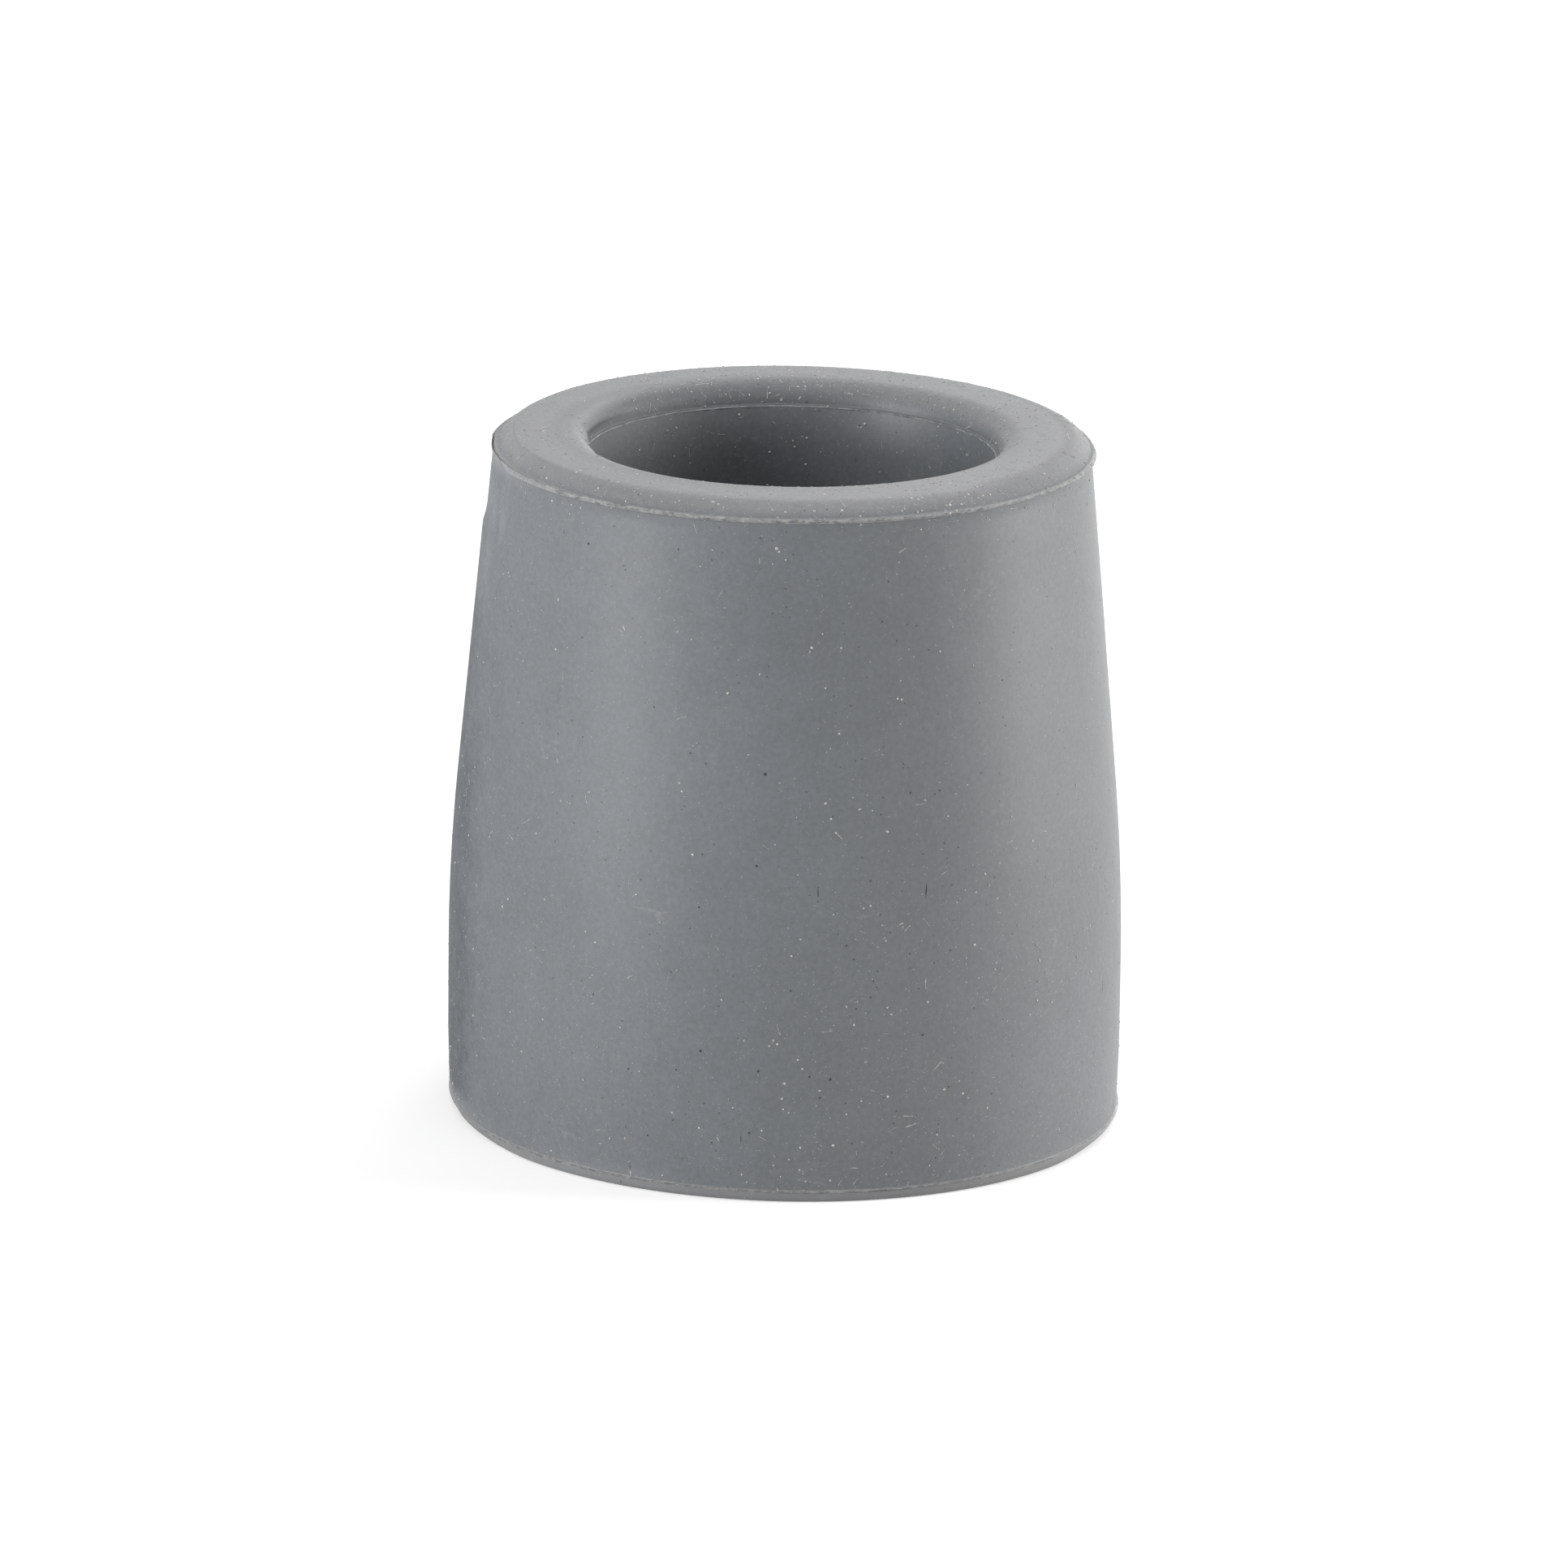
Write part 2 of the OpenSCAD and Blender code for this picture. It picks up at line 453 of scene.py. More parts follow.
def bumped(tree, rise, surface):
    """Gives the surface a relief of that height, in metres."""
    bump = add(tree, "ShaderNodeBump")
    bump.inputs["Distance"].default_value = 1
    tree.links.new(rise, bump.inputs["Height"])
    tree.links.new(out(bump), surface.inputs["Normal"])


rubber_grey = (0.172, 0.184, 0.198, 1)
handled_grey = (0.163, 0.184, 0.206, 1)
# The crown's paler grey: dust, and painted light
crown_film_and_light_grey = (0.228, 0.234, 0.242, 1)
flash_grey = (0.35, 0.355, 0.352, 1)
band_grey = (0.255, 0.257, 0.262, 1)
seam_grey = (0.33, 0.33, 0.33, 1)
bloom_white = (0.52, 0.53, 0.53, 1)
grit_black = (0.03, 0.035, 0.045, 1)
rubber, tree, surface = new_material("grey rubber")
place = out(add(tree, "ShaderNodeTexCoord"), "Object")
parts = add(tree, "ShaderNodeSeparateXYZ", place)
rightwards = out(parts, "X")
level = out(parts, "Z")
body_grain = use(tree, "ShaderNodeGroup", grain, Place=place, Clouds=0.3, Tooth=0.4)

# More dust has settled on the shoulder, low on the skirt and at the left than on the cone
low_down = ramp(tree, level, 24 * MM, 8 * MM)
rim_level = maths(tree, "SUBTRACT", level, times(tree, rightwards, rim_lean))
on_top = ramp(tree, rim_level, (parting_z - 0.1) * MM, (parting_z + 0.1) * MM)
at_foot = ramp(tree, level, 2.4 * MM, 0.9 * MM)
at_left = ramp(tree, rightwards, -11 * MM, -16 * MM)
low_down = maths(tree, "ADD", low_down, at_left)
dusty = maths(tree, "ADD", maths(tree, "MULTIPLY_ADD", low_down, 0.6, 0.5),
              maths(tree, "MULTIPLY_ADD", on_top, 5.0, times(tree, at_foot, 1.6)))
# The specks are swayed a little, so that none of them is a true circle
sway = 0.12 * MM
wobble = add(tree, "ShaderNodeTexNoise", place, 5200, 1, 0.5)
uneven = add(tree, "ShaderNodeVectorMath", out(wobble, "Color"), (0.5, 0.5, 0.5),
             operation="SUBTRACT")
swayed = out(add(tree, "ShaderNodeVectorMath", out(uneven), (sway, sway, sway), place,
                 operation="MULTIPLY_ADD"))
dots = use(tree, "ShaderNodeGroup", specks, Place=swayed, Cells=2600.0,
           Share=times(tree, dusty, 0.75), Size=0.17)
motes = use(tree, "ShaderNodeGroup", specks, Place=swayed, Cells=5200.0,
            Share=times(tree, dusty, 1.1), Size=0.2)
grit = use(tree, "ShaderNodeGroup", specks, Place=swayed, Cells=1800.0, Share=0.6, Size=0.15)

# Faint streaks where the mould drew off, and a few dark drag marks among them
streaks = noise(tree, stretched(tree, place, (1, 1, 0.035)), 1500, 3, 0.6)
on_wall = times(tree, ramp(tree, level, (parting_z - 0.3) * MM, (parting_z - 1) * MM),
                ramp(tree, level, 0.8 * MM, 2 * MM))
streak_tone = 0.06
streaked = times(tree, maths(tree, "SUBTRACT", streaks, 0.5), times(tree, on_wall, streak_tone))
scratch = use(tree, "ShaderNodeGroup", specks, Place=stretched(tree, place, (1, 1, 0.16)),
              Cells=620.0, Share=0.06, Size=0.055)
scratched = times(tree, scratch.outputs["Mask"], on_wall)

# Breaks that run straight up, for the lines that go round the tip
flat_place = out(add(tree, "ShaderNodeCombineXYZ", rightwards, out(parts, "Y"), 0))
radius = out(add(tree, "ShaderNodeVectorMath", flat_place, operation="LENGTH"))
breaks = noise(tree, flat_place, 2600, 3, 0.65)

# Pale scuffs, rubbed across in short strokes
strokes_way = stretched(tree, place, (0.25, 1, 1), (0, math.radians(40), 0))
scuffed = times(tree, ramp(tree, noise(tree, place, 210, 2, 0.5), 0.6, 0.72),
                ramp(tree, noise(tree, strokes_way, 3300, 2, 0.6), 0.52, 0.7))

# The left side is darker in mottled clouds, most of all at its edge: partly the bluish grime of
# handling, and partly painted shade that dims that edge
across = maths(tree, "DIVIDE", rightwards, skirt_r * MM)
clouds = ramp(tree, noise(tree, place, 170, 4, 0.65), 0.3, 0.55, 0.45, 1)
mottle = noise(tree, stretched(tree, place, (1, 0.7, 1)), 1700, 3, 0.7)
handled_dirt_and_shade = times(tree, ramp(tree, across, -0.72, -0.98), clouds)
handled_dirt_and_shade = times(tree, handled_dirt_and_shade, times(tree, on_wall, ramp(tree, mottle, 0.38, 0.62, 0.75, 1.1)))
# Painted shade: the wall's far left edge is darkened a little more
left_edge_shade = times(tree, ramp(tree, across, -0.88, -0.95), on_wall)
# The roll of the mouth is darkened towards the left, as painted shade that dims a lamp's highlight
# there, and the crown's film thins out over it
roll_painted_shade = times(tree, ramp(tree, radius, (bore_r + 2.6) * MM, (bore_r + 1.2) * MM),
                ramp(tree, rim_level, (height + 0.05) * MM, (height - 0.5) * MM, 0.4, 1),
                ramp(tree, rightwards, 7 * MM, -4 * MM))
# Painted light and dust: the crown is paler than the wall, as a dust film and as painted light on
# its upward faces
crown_film_and_light = ramp(tree, rim_level, (height - 0.85) * MM, (height - 0.3) * MM, 0.12, 1)
crown_film_and_light = times(tree, on_top, crown_film_and_light, maths(tree, "SUBTRACT", 1, roll_painted_shade))
shade = maths(tree, "ADD", body_grain.outputs["Shade"], streaked)
# Painted shade: the left side, its far edge and the left of the mouth's roll are darkened here
for mask, darker in ((handled_dirt_and_shade, -0.3), (left_edge_shade, -0.1), (roll_painted_shade, -0.16)):
    shade = maths(tree, "MULTIPLY_ADD", mask, darker, shade)
bare = mix(tree, handled_dirt_and_shade, rubber_grey, handled_grey)
colour = scaled(tree, mix(tree, crown_film_and_light, bare, crown_film_and_light_grey), shade)

# The trimmed flash at the parting line is rubbed pale
from_parting = maths(tree, "ABSOLUTE", maths(tree, "SUBTRACT", rim_level, parting_z * MM))
ragged_level = maths(tree, "MULTIPLY_ADD", maths(tree, "SUBTRACT", breaks, 0.5), 0.12 * MM,
                     from_parting)
flash_line = times(tree, ramp(tree, radius, (rim_r - 0.6) * MM, (rim_r - 0.4) * MM),
                   ramp(tree, ragged_level, 0.15 * MM, 0.1 * MM),
                   ramp(tree, breaks, 0.35, 0.62, 0.5, 1))
# The foot band is paler than the wall, and more so along the seam at its top
in_band = ramp(tree, level, (band_h + 0.02) * MM, (band_h - 0.04) * MM)
from_seam = maths(tree, "ABSOLUTE", maths(tree, "SUBTRACT", level, (band_h + 0.03) * MM))
seam = times(tree, ramp(tree, from_seam, 0.09 * MM, 0.03 * MM),
             ramp(tree, breaks, 0.38, 0.6, 0.35, 1),
             ramp(tree, radius, (band_r - 1) * MM, (band_r - 0.8) * MM))
# What covers the rubber, from the lowest up: where it lies, how much of it shows, and its colour
for mask, cover, tone in ((flash_line, 0.9, flash_grey), (in_band, 0.75, band_grey),
                          (seam, 0.7, seam_grey), (scuffed, 0.16, bloom_white),
                          (motes.outputs["Mask"], 0.45, bloom_white),
                          (dots.outputs["Mask"], 0.5, bloom_white),
                          (grit.outputs["Mask"], 0.7, grit_black), (scratched, 0.45, grit_black)):
    colour = mix(tree, times(tree, mask, cover), colour, tone)
tree.links.new(colour, surface.inputs["Base Color"])

# Dust has dulled the crown at the right
dull = times(tree, on_top, ramp(tree, rightwards, 8 * MM, 12 * MM),
             ramp(tree, radius, (rim_r - 1.9) * MM, (rim_r - 1.2) * MM))
rough = maths(tree, "MULTIPLY_ADD", body_grain.outputs["Bloom"], 0.08, 0.44)
for mask, rougher in ((scuffed, 0.12), (maths(tree, "MAXIMUM", handled_dirt_and_shade, roll_painted_shade), 0.17),
                      (left_edge_shade, 0.2), (dull, 0.22)):
    rough = maths(tree, "MULTIPLY_ADD", mask, rougher, rough)
tree.links.new(rough, surface.inputs["Roughness"])
dot_rise = 0.02 * MM
scratch_depth = 0.03 * MM
rise = maths(tree, "ADD", body_grain.outputs["Rise"], times(tree, dots.outputs["Mask"], dot_rise))
bumped(tree, maths(tree, "SUBTRACT", rise, times(tree, scratched, scratch_depth)), surface)

tip = grown("tip_rubber", section, moulded, Columns=560, Cap_shift=0.03 * MM, Shave=0.17 * MM,
            Shave_height=32.6 * MM, Swell=0.06 * MM, Band_bulge=0.06 * MM, Worn=0.25 * MM,
            Lean=tip_lean, Rim=rim_lean, Material=rubber)
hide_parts("cane_tip")
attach(tip, "root")


# The mould's witness lines
# Thin rubber that crept between the halves of the mould: the trimmed flash at
# the parting line, the torn skin where the core pin met the cap, and the edge
# of the sole plate's band. They are one with the tip, and only dustier.
def loop(name, centre_r, centre_z, half_w, half_h):
    """A closed section round that centre, in millimetres. Its crest faces away from the rubber."""
    ring = bpy.data.meshes.new(name)
    sides = 8
    spots = []
    crest = []
    for side in range(sides + 1):
        turn = math.tau * (side % sides) / sides
        spots.append(((centre_r + half_w * math.cos(turn)) * MM, 0,
                      (centre_z + half_h * math.sin(turn)) * MM))
        crest.append(0.5 + 0.5 * math.cos(turn))
    ring.from_pydata(spots, [(i, i + 1) for i in range(sides)], [])
    ring.attributes.new("crest", "FLOAT", "POINT").data.foreach_set("value", crest)
    return ring


# A ragged ring round the tip. Its crest and its height wander along it.
ragged, given, result = tree_with(
    "ragged ring", "GeometryNodeTree",
    [("Section", "NodeSocketGeometry"), ("Columns", "NodeSocketInt"),
     ("Reach", "NodeSocketFloat"), ("Wander", "NodeSocketFloat"), ("Fray", "NodeSocketFloat"),
     ("Right lift", "NodeSocketFloat"), ("Left trim", "NodeSocketFloat"),
     ("Broken", "NodeSocketFloat"), ("Seed", "NodeSocketFloat"),
     ("Lean", "NodeSocketFloat"), ("Rim", "NodeSocketFloat"), ("Material", "NodeSocketMaterial")],
    [("Mesh", "NodeSocketGeometry")])
body = use(ragged, "GeometryNodeGroup", turned, Section=given["Section"], Columns=given["Columns"])
angle = body.outputs["Angle"]
cosine = maths(ragged, "COSINE", angle)
sine = maths(ragged, "SINE", angle)
crest = sampled(ragged, "crest", given["Section"], body.outputs["Point"])
along = out(add(ragged, "ShaderNodeCombineXYZ", cosine, sine, given["Seed"]))
# Each point of the section meets its own stretch of the finest noise
point_step = 0.011
here = out(add(ragged, "ShaderNodeCombineXYZ", cosine, sine,
               maths(ragged, "MULTIPLY_ADD", body.outputs["Point"], point_step, given["Seed"])))


def centred(tree, where, scale, detail):
    """Noise between about -1 and 1."""
    wave = noise(tree, where, scale, detail, 0.6)
    spread = 2.6
    return times(tree, maths(tree, "SUBTRACT", wave, 0.5), spread)


slow_wave = centred(ragged, along, 11, 2)
quick_wave = centred(ragged, along, 75, 3)
frayed = centred(ragged, here, 150, 2)
to_right = ramp(ragged, cosine, 0.86, 0.98)
to_left = ramp(ragged, cosine, -0.72, -0.9)
stand = maths(ragged, "ADD",
              times(ragged, maths(ragged, "ADD", slow_wave, quick_wave),
                    times(ragged, given["Reach"], 0.5)),
              times(ragged, to_right, given["Right lift"]))
stand = maths(ragged, "SUBTRACT", stand, times(ragged, to_left, given["Left trim"]))
# Where the ring is broken it draws back into the rubber
gap = ramp(ragged, centred(ragged, along, 26, 2), 0.1, 0.45)
stand = maths(ragged, "SUBTRACT", stand, times(ragged, gap, given["Broken"]))
stand = maths(ragged, "ADD", times(ragged, stand, crest), times(ragged, frayed, given["Fray"]))
height_wave = maths(ragged, "ADD", times(ragged, centred(ragged, along, 17, 3), 0.6),
                    times(ragged, frayed, 0.4))
upwards = maths(ragged, "SUBTRACT", times(ragged, height_wave, given["Wander"]),
                times(ragged, to_right, crest, given["Right lift"]))
offset = add(ragged, "ShaderNodeCombineXYZ", times(ragged, cosine, stand),
             times(ragged, sine, stand), upwards)
dress(ragged, body.outputs["Mesh"], out(offset), given, result)


def dusty_rubber(name, share, tone):
    """Rubber rubbed pale: the tone shows through in streaks, over this share of it."""
    made, tree, surface = new_material(name)
    place = out(add(tree, "ShaderNodeTexCoord"), "Object")
    own_grain = use(tree, "ShaderNodeGroup", grain, Place=place, Clouds=0.25, Tooth=1.2)
    streak = noise(tree, stretched(tree, place, (0.35, 0.35, 1.6)), 5200, 3, 0.65)
    pale = ramp(tree, streak, 0.66 - share * 0.3, 0.78 - share * 0.3)
    dots = use(tree, "ShaderNodeGroup", specks, Place=place, Cells=5200.0, Share=0.5, Size=0.24)
    nicks = use(tree, "ShaderNodeGroup", specks, Place=place, Cells=3100.0, Share=0.55, Size=0.26)
    colour = scaled(tree, mix(tree, times(tree, pale, share), rubber_grey, tone),
                    own_grain.outputs["Shade"])
    colour = mix(tree, times(tree, dots.outputs["Mask"], 0.6), colour, bloom_white)
    colour = mix(tree, times(tree, nicks.outputs["Mask"], 0.5), colour, grit_black)
    tree.links.new(colour, surface.inputs["Base Color"])
    tree.links.new(maths(tree, "MULTIPLY_ADD", pale, 0.2, 0.55), surface.inputs["Roughness"])
    streak_rise = times(tree, streak, 0.06 * MM)
    bumped(tree, maths(tree, "ADD", own_grain.outputs["Rise"], streak_rise), surface)
    return made


flash_dust = dusty_rubber("flash rubber", 0.9, (0.365, 0.368, 0.364, 1))
skin_dust = dusty_rubber("mouth skin", 0.8, (0.34, 0.345, 0.35, 1))
band_dust = dusty_rubber("band edge rubber", 0.75, (0.34, 0.335, 0.33, 1))


def witness(name, ring, material, columns, **values):
    """A ragged ring on the tip, one with its rubber."""
    piece = grown(name, ring, ragged, Columns=columns, Lean=tip_lean, Rim=rim_lean,
                  Material=material, **values)
    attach(piece, "root")


flash = loop("flash_section", centre_r=rim_r + 0.04, centre_z=parting_z, half_w=0.11, half_h=0.13)
witness("flash_ridge", flash, flash_dust, 2400, Reach=0.035 * MM, Wander=0.018 * MM,
        Fray=0.028 * MM, Right_lift=0.1 * MM, Left_trim=0.2 * MM, Broken=0.0, Seed=3.1)
# The skin faces inwards, so its width and its reach are negative
skin = loop("skin_section", centre_r=bore_r + 0.07, centre_z=height - mouth_r - 0.01,
            half_w=-0.075, half_h=0.05)
witness("mouth_skin", skin, skin_dust, 1700, Reach=-0.07 * MM, Wander=0.03 * MM,
        Fray=0.014 * MM, Right_lift=-0.03 * MM, Left_trim=0.0, Broken=-0.035 * MM, Seed=7.7)
band_top = loop("band_section", centre_r=band_r - 0.02, centre_z=band_h - 0.03,
                half_w=0.05, half_h=0.055)
witness("band_edge", band_top, band_dust, 1900, Reach=0.012 * MM, Wander=0.03 * MM,
        Fray=0.01 * MM, Right_lift=0.0, Left_trim=0.13 * MM, Broken=0.03 * MM, Seed=5.4)


# Dust and lint
# Pale grains of dust and short fibres that cling to the rubber, more of them
# low on the skirt and on the shoulder. They lie flat on the surface.
scatter, given, result = tree_with(
    "clinging", "GeometryNodeTree",
    [("Surface", "NodeSocketGeometry"), ("Density", "NodeSocketFloat"), ("Seed", "NodeSocketInt"),
     ("Small", "NodeSocketFloat"), ("Large", "NodeSocketFloat"), ("Long", "NodeSocketFloat"),
     ("Fibre", "NodeSocketBool"), ("Material", "NodeSocketMaterial")],
    [("Mesh", "NodeSocketGeometry")])
at = add(scatter, "ShaderNodeSeparateXYZ", out(add(scatter, "GeometryNodeInputPosition")))
level = out(at, "Z")
low_down = ramp(scatter, level, 24 * MM, 8 * MM, 0.4, 1.0)
at_foot = ramp(scatter, level, 2 * MM, 1 * MM, 0.0, 1.6)
on_top = ramp(scatter, level, (parting_z - 1) * MM, parting_z * MM, 0.0, 6.0)
not_under = ramp(scatter, level, 0.5 * MM, 0.7 * MM)
patchy = ramp(scatter, noise(scatter, None, 130, 2, 0.5), 0.35, 0.65, 0.35, 1.6)
thick = times(scatter, maths(scatter, "ADD", maths(scatter, "ADD", low_down, at_foot), on_top),
              times(scatter, not_under, patchy))
strewn = add(scatter, "GeometryNodeDistributePointsOnFaces", given["Surface"])
scatter.links.new(times(scatter, thick, given["Density"]), strewn.inputs["Density"])
scatter.links.new(given["Seed"], strewn.inputs["Seed"])
grain_shape = add(scatter, "GeometryNodeMeshIcoSphere", 1, 1)
bent = add(scatter, "GeometryNodeCurveQuadraticBezier", 5, (-1, 0, 0), (0.1, 0.2, 0), (1, 0.05, 0))
wire = add(scatter, "GeometryNodeCurvePrimitiveCircle", 3)
fibre_r = 0.11
wire.inputs["Radius"].default_value = fibre_r
fibre_shape = add(scatter, "GeometryNodeCurveToMesh", out(bent), out(wire, "Curve"))
fibre_shape.inputs["Fill Caps"].default_value = True
shape = add(scatter, "GeometryNodeSwitch", given["Fibre"], out(grain_shape, "Mesh"),
            out(fibre_shape), input_type="GEOMETRY")


def between(tree, low, high, seed):
    """A number between low and high for each point, by chance but the same each time."""
    made = add(tree, "FunctionNodeRandomValue", data_type="FLOAT")
    made.inputs[2].default_value = low
    made.inputs[3].default_value = high
    made.inputs["Seed"].default_value = seed
    return out(made)


around = add(scatter, "FunctionNodeAxisAngleToRotation", (0, 0, 1), between(scatter, 0, math.tau, 3))
facing = add(scatter, "FunctionNodeRotateRotation", out(strewn, "Rotation"), out(around))
facing.rotation_space = "LOCAL"
# A few are large and most are small, and none at the foot is long
draw = times(scatter, between(scatter, 0, 1, 0), ramp(scatter, level, 0.4 * MM, 1 * MM, 0.5, 1.0))
grown_to = maths(scatter, "ADD", given["Small"],
                 times(scatter, maths(scatter, "POWER", draw, 5),
                       maths(scatter, "SUBTRACT", given["Large"], given["Small"])))
across = add(scatter, "GeometryNodeSwitch", given["Fibre"], grown_to,
             times(scatter, grown_to, between(scatter, 0.45, 1.1, 5)), input_type="FLOAT")
flatness = 0.6
size = add(scatter, "ShaderNodeCombineXYZ", times(scatter, grown_to, given["Long"]), out(across),
           times(scatter, grown_to, flatness))
placed = add(scatter, "GeometryNodeInstanceOnPoints", out(strewn, "Points"), None, out(shape))
scatter.links.new(out(facing), placed.inputs["Rotation"])
scatter.links.new(out(size), placed.inputs["Scale"])
real = add(scatter, "GeometryNodeRealizeInstances", out(placed))
smooth = add(scatter, "GeometryNodeSetShadeSmooth", out(real))
finished = add(scatter, "GeometryNodeSetMaterial", out(smooth), None, given["Material"])
scatter.links.new(out(finished), result["Mesh"])


def fluff(name, low, high):
    """Dust or lint: each grain's tone lies between these two."""
    made, tree, surface = new_material(name)
    place = out(add(tree, "ShaderNodeTexCoord"), "Object")
    patch = noise(tree, place, 7000, 1, 0.5)
    tree.links.new(mix(tree, ramp(tree, patch, 0.35, 0.65), low, high), surface.inputs["Base Color"])
    surface.inputs["Roughness"].default_value = 0.85
    surface.inputs["Specular IOR Level"].default_value = 0.3
    return made


dust = fluff("dust", (0.3, 0.305, 0.31, 1), (0.7, 0.7, 0.68, 1))
lint = fluff("lint", (0.3, 0.31, 0.32, 1), (0.62, 0.62, 0.6, 1))


def clinging(name, material, **values):
    """Grains or fibres strewn over the tip."""
    piece = grown(name, tip.data, scatter, Material=material, **values)
    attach(piece, "root")


clinging("dust_grains", dust, Density=0.8e6, Seed=4, Small=0.02 * MM, Large=0.085 * MM,
         Long=1.2, Fibre=False)
clinging("lint_fibres", lint, Density=0.45e6, Seed=9, Small=0.06 * MM, Large=0.32 * MM,
         Long=1.0, Fibre=True)


# Marks of handling
# Single hairs, grains and dark nicks that stand out on this tip, each pressed
# flat onto the rubber. They are placed by the camera's view of them.
# Where the camera stands and which way it looks, for these marks and for the camera itself
view_rise = math.radians(15.5711)
view_pitch = math.radians(15.6496)
view_roll = math.radians(1.4493)
view_distance = 615.16 * MM
lens_mm = 261.23
film_mm = 36
frame_px = 1932
camera_at = Vector((-0.08 * MM, -view_distance * math.cos(view_rise),
                    height * MM / 2 + view_distance * math.sin(view_rise)))
camera_turn = Matrix.Rotation(math.pi / 2 - view_pitch, 3, "X") @ Matrix.Rotation(view_roll, 3, "Z")
skin_of_tip = BVHTree.FromPolygons([v.co for v in tip.data.vertices],
                                   [p.vertices for p in tip.data.polygons])


def on_tip(x, y):
    """The spot on the rubber and its normal that show at that place in the camera's frame."""
    aim = Vector(((x / frame_px - 0.5) * film_mm, (0.5 - y / frame_px) * film_mm, -lens_mm))
    return skin_of_tip.ray_cast(camera_at, camera_turn @ aim.normalized())[:2]


def hair(spots, faces, path, width):
    """A fibre along the path, of about that width in millimetres, thinner at its ends."""
    through = [on_tip(x, y) for x, y in path]
    first = len(spots)
    for place, (spot, normal) in enumerate(through):
        before = through[max(place - 1, 0)][0]
        after = through[min(place + 1, len(through) - 1)][0]
        side = (after - before).normalized().cross(normal)
        share = 0.4 if place in (0, len(through) - 1) else 0.7
        half = width * MM * share
        spots += [spot - side * half, spot + normal * half, spot + side * half]
    for step in range(len(path) - 1):
        row = first + step * 3
        for side in range(3):
            on = (side + 1) % 3
            faces.append((row + side, row + on, row + 3 + on, row + 3 + side))
    last = len(spots) - 3
    faces.append((first + 2, first + 1, first))
    faces.append((last, last + 1, last + 2))


def grain_of(spots, faces, x, y, width):
    """A flat grain of that width in millimetres, sunk half way into the rubber."""
    spot, normal = on_tip(x, y)
    side = normal.orthogonal().normalized() * width * MM / 2
    other = normal.cross(side)
    rise = normal * width * MM * 0.3
    first = len(spots)
    spots += [spot + side, spot + other, spot - side, spot - other, spot + rise, spot - rise]
    for place in range(4):
        on = first + (place + 1) % 4
        faces.append((first + place, on, first + 4))
        faces.append((on, first + place, first + 5))


def marks(name, hairs, grains, material):
    """One piece of all those hairs and grains."""
    spots = []
    faces = []
    for width, *path in hairs:
        hair(spots, faces, path, width)
    for x, y, width in grains:
        grain_of(spots, faces, x, y, width)
    mesh = bpy.data.meshes.new(name)
    mesh.from_pydata(spots, [], faces)
    mesh.materials.append(material)
    piece = bpy.data.objects.new(name, mesh)
    bpy.context.scene.collection.objects.link(piece)
    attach(piece, "root")


# Each hair is its width in millimetres and the places it runs through, in the camera's frame.
# Each grain is its place in that frame and its width in millimetres.
pale_hairs = [
    (0.05, (1070, 1200), (1075, 1206), (1079, 1214), (1082, 1221)),
    (0.05, (883, 1219), (887, 1222), (891, 1226)),
    (0.05, (965, 1277), (970, 1275), (977, 1275)),
    (0.06, (1146, 1257), (1150, 1262)),
    (0.05, (1172, 1261), (1179, 1258), (1186, 1257)),
    (0.05, (1119, 1271), (1125, 1275), (1130, 1276)),
    (0.06, (968, 1331), (975, 1328)),
    (0.035, (840, 1318), (848, 1318), (856, 1318)),
    (0.07, (1078, 1362), (1083, 1361), (1088, 1363)),
    (0.05, (1117, 1343), (1119, 1347), (1122, 1349)),
    (0.06, (883, 1401), (887, 1406), (894, 1408)),
    (0.06, (776, 1436), (777, 1443), (777, 1450)),
    (0.05, (958, 1464), (958, 1471), (953, 1475)),
    (0.04, (757, 1389), (761, 1386), (763, 1390), (761, 1399)),
    (0.05, (899, 1389), (903, 1393)),
    (0.05, (640, 538), (644, 545), (646, 552)),
    (0.06, (655, 551), (660, 555), (664, 554)),
    (0.06, (715, 588), (722, 590)),
    (0.05, (727, 604), (731, 600), (734, 597)),
    (0.06, (765, 583), (775, 586)),
    (0.06, (1315, 533), (1318, 541), (1321, 550)),
    (0.05, (1265, 499), (1272, 501)),
    (0.05, (715, 648), (718, 644), (722, 641)),
    (0.05, (693, 829), (694, 841)),
    (0.05, (843, 727), (839, 730)),
    (0.04, (766, 768), (768, 772), (770, 777)),
    (0.05, (816, 783), (812, 786)),
    (0.045, (658, 926), (660, 916)),
    (0.06, (657, 984), (661, 979)),
    (0.06, (578, 866), (581, 882)),
    (0.05, (888, 1094), (893, 1088)),
    (0.04, (893, 815), (897, 818)),
    (0.05, (595, 1076), (600, 1071)),
    (0.045, (686, 935), (688, 941)),
    (0.06, (1108, 1140), (1110, 1139), (1113, 1137)),
    (0.055, (1125, 1081), (1133, 1075)),
    (0.055, (1037, 954), (1043, 951)),
    (0.05, (1079, 931), (1082, 929)),
    (0.04, (1056, 1035), (1060, 1032), (1064, 1031)),
    (0.05, (992, 802), (997, 804), (1001, 801)),
    (0.05, (1282, 1138), (1286, 1142)),
    (0.05, (1223, 1187), (1227, 1187), (1229, 1185)),
    (0.05, (857, 474), (874, 472)),
    (0.06, (1019, 491), (1022, 487)),
    (0.045, (1039, 483), (1051, 486)),
    (0.045, (832, 466), (835, 473)),
    (0.07, (720, 549), (722, 553)),
]
